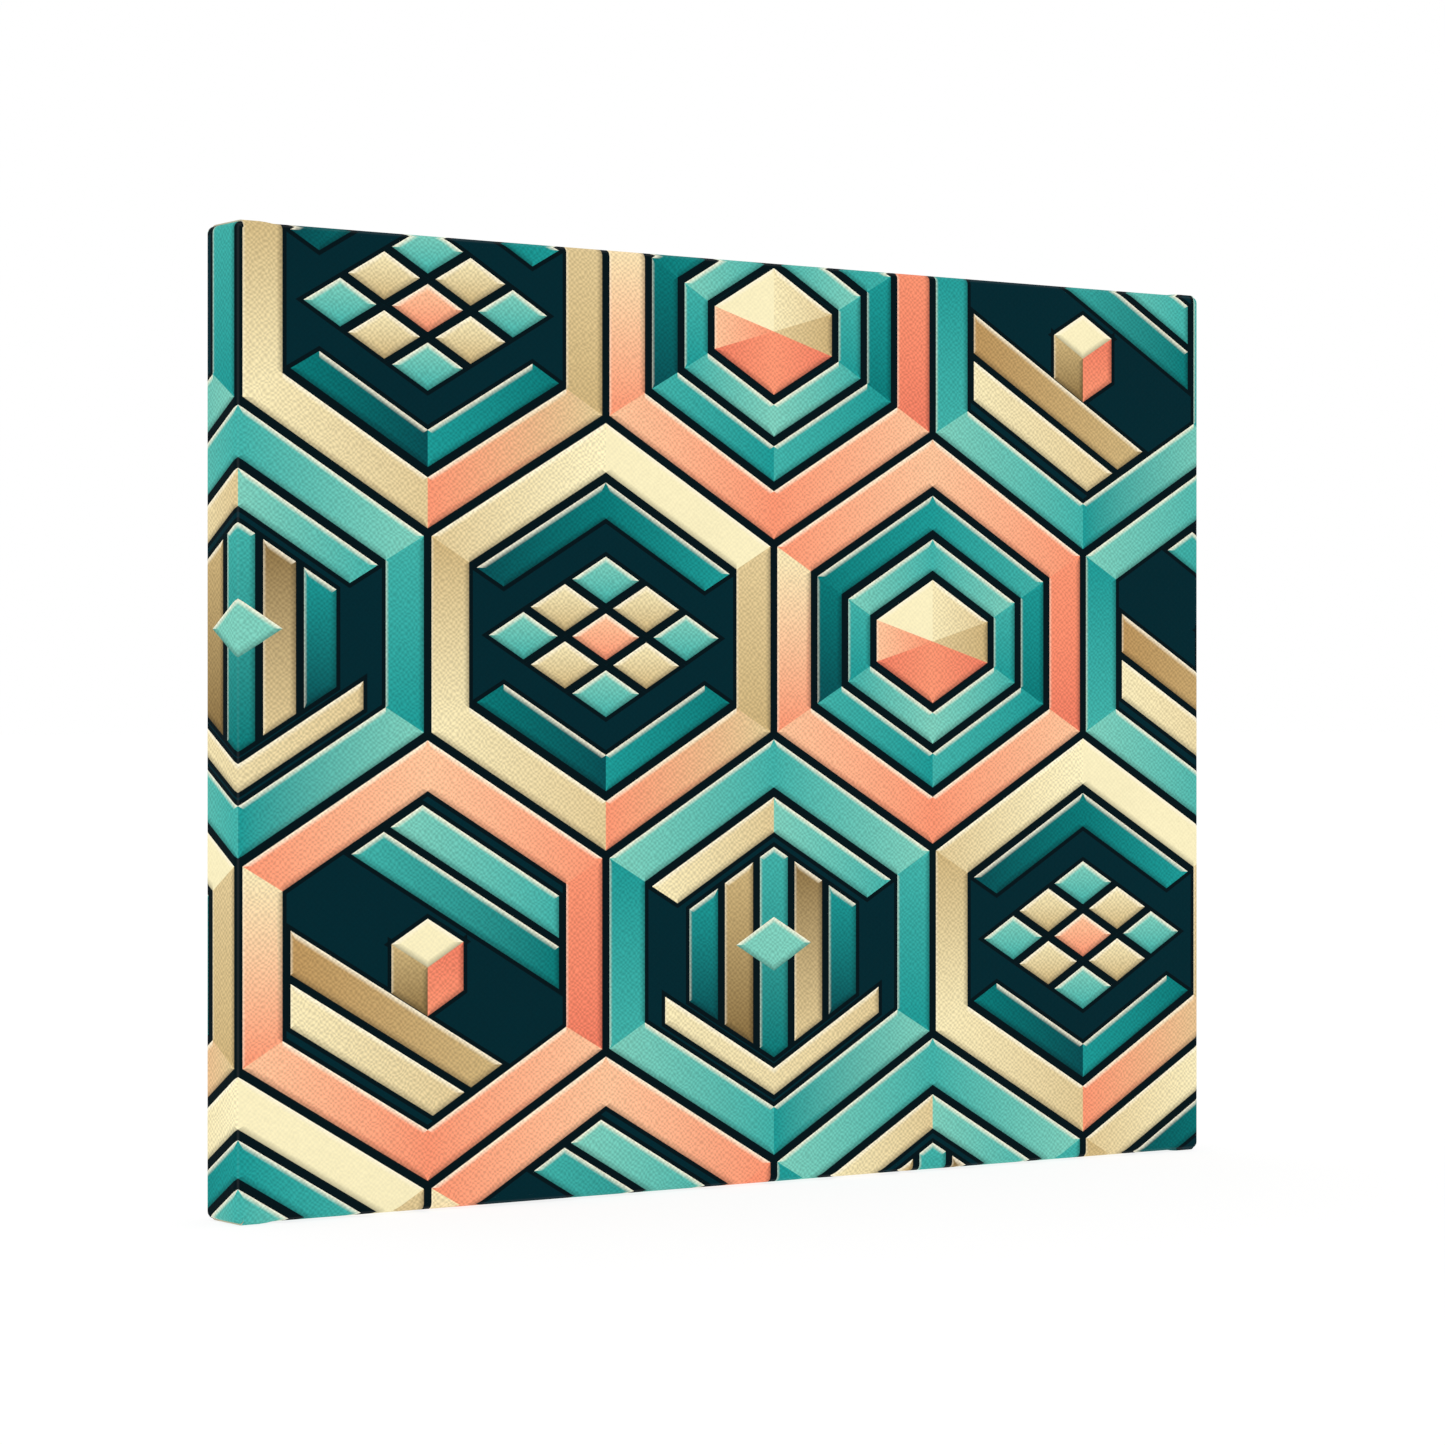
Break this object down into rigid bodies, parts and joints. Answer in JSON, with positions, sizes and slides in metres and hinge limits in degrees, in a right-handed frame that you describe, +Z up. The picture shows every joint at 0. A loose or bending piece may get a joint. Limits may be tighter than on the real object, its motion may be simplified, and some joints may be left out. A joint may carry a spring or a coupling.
{
  "type": "stretched canvas",
  "caption": "Printed picture canvas wrapped over a shallow wooden stretcher frame, open at the back, with corner keys, a sawtooth hanger and wall bumpers.",
  "frame": {"origin": "under the middle of the bottom edge, half way through the whole depth", "axes": "+Z up, +X along the width to the right of someone facing the print, the print faces -Y"},
  "size_m": [0.3556, 0.0216, 0.2794],
  "materials": {
    "printed_canvas": "matt primed cotton canvas with printed ink in teal, coral, cream and dark navy",
    "pine": "planed, unsealed",
    "beech": "sawn and sanded, unsealed",
    "staple_wire": "galvanised wire",
    "hanger_steel": "pressed sheet steel, brass-toned zinc plate",
    "rubber": "matt moulded"
  },
  "bodies": {
    "stretched_canvas": {"printed_canvas": "printed_canvas", "stretcher_bar_top": "pine", "stretcher_bar_right": "pine", "stretcher_bar_bottom": "pine", "stretcher_bar_left": "pine", "staple_top_1": "staple_wire", "staple_top_2": "staple_wire", "staple_top_3": "staple_wire", "staple_top_4": "staple_wire", "staple_top_5": "staple_wire", "staple_top_6": "staple_wire", "staple_top_7": "staple_wire", "staple_top_8": "staple_wire", "staple_right_1": "staple_wire", "staple_right_2": "staple_wire", "staple_right_3": "staple_wire", "staple_right_4": "staple_wire", "staple_right_5": "staple_wire", "staple_right_6": "staple_wire", "staple_bottom_1": "staple_wire", "staple_bottom_2": "staple_wire", "staple_bottom_3": "staple_wire", "staple_bottom_4": "staple_wire", "staple_bottom_5": "staple_wire", "staple_bottom_6": "staple_wire", "staple_bottom_7": "staple_wire", "staple_bottom_8": "staple_wire", "staple_left_1": "staple_wire", "staple_left_2": "staple_wire", "staple_left_3": "staple_wire", "staple_left_4": "staple_wire", "staple_left_5": "staple_wire", "staple_left_6": "staple_wire", "sawtooth_hanger": "hanger_steel", "hanger_nail_left": "hanger_steel", "hanger_nail_right": "hanger_steel", "wall_bumper_left": "rubber", "wall_bumper_right": "rubber"},
    "key_top_bar_right_end": {"corner_key_top_bar_right_end": "beech"},
    "key_top_bar_left_end": {"corner_key_top_bar_left_end": "beech"},
    "key_bottom_bar_right_end": {"corner_key_bottom_bar_right_end": "beech"},
    "key_bottom_bar_left_end": {"corner_key_bottom_bar_left_end": "beech"},
    "key_right_bar_bottom_end": {"corner_key_right_bar_bottom_end": "beech"},
    "key_right_bar_top_end": {"corner_key_right_bar_top_end": "beech"},
    "key_left_bar_bottom_end": {"corner_key_left_bar_bottom_end": "beech"},
    "key_left_bar_top_end": {"corner_key_left_bar_top_end": "beech"}
  },
  "joints": [
    {"name": "slide_top_bar_right_end", "type": "slide", "parent": "stretched_canvas", "child": "key_top_bar_right_end", "axis": [-1, 0, 0], "range_m": [0, 0.021]},
    {"name": "slide_top_bar_left_end", "type": "slide", "parent": "stretched_canvas", "child": "key_top_bar_left_end", "axis": [1, 0, 0], "range_m": [0, 0.021]},
    {"name": "slide_bottom_bar_right_end", "type": "slide", "parent": "stretched_canvas", "child": "key_bottom_bar_right_end", "axis": [-1, 0, 0], "range_m": [0, 0.021]},
    {"name": "slide_bottom_bar_left_end", "type": "slide", "parent": "stretched_canvas", "child": "key_bottom_bar_left_end", "axis": [1, 0, 0], "range_m": [0, 0.021]},
    {"name": "slide_right_bar_bottom_end", "type": "slide", "parent": "stretched_canvas", "child": "key_right_bar_bottom_end", "axis": [0, 0, 1], "range_m": [0, 0.021]},
    {"name": "slide_right_bar_top_end", "type": "slide", "parent": "stretched_canvas", "child": "key_right_bar_top_end", "axis": [0, 0, -1], "range_m": [0, 0.021]},
    {"name": "slide_left_bar_bottom_end", "type": "slide", "parent": "stretched_canvas", "child": "key_left_bar_bottom_end", "axis": [0, 0, 1], "range_m": [0, 0.021]},
    {"name": "slide_left_bar_top_end", "type": "slide", "parent": "stretched_canvas", "child": "key_left_bar_top_end", "axis": [0, 0, -1], "range_m": [0, 0.021]}
  ]
}
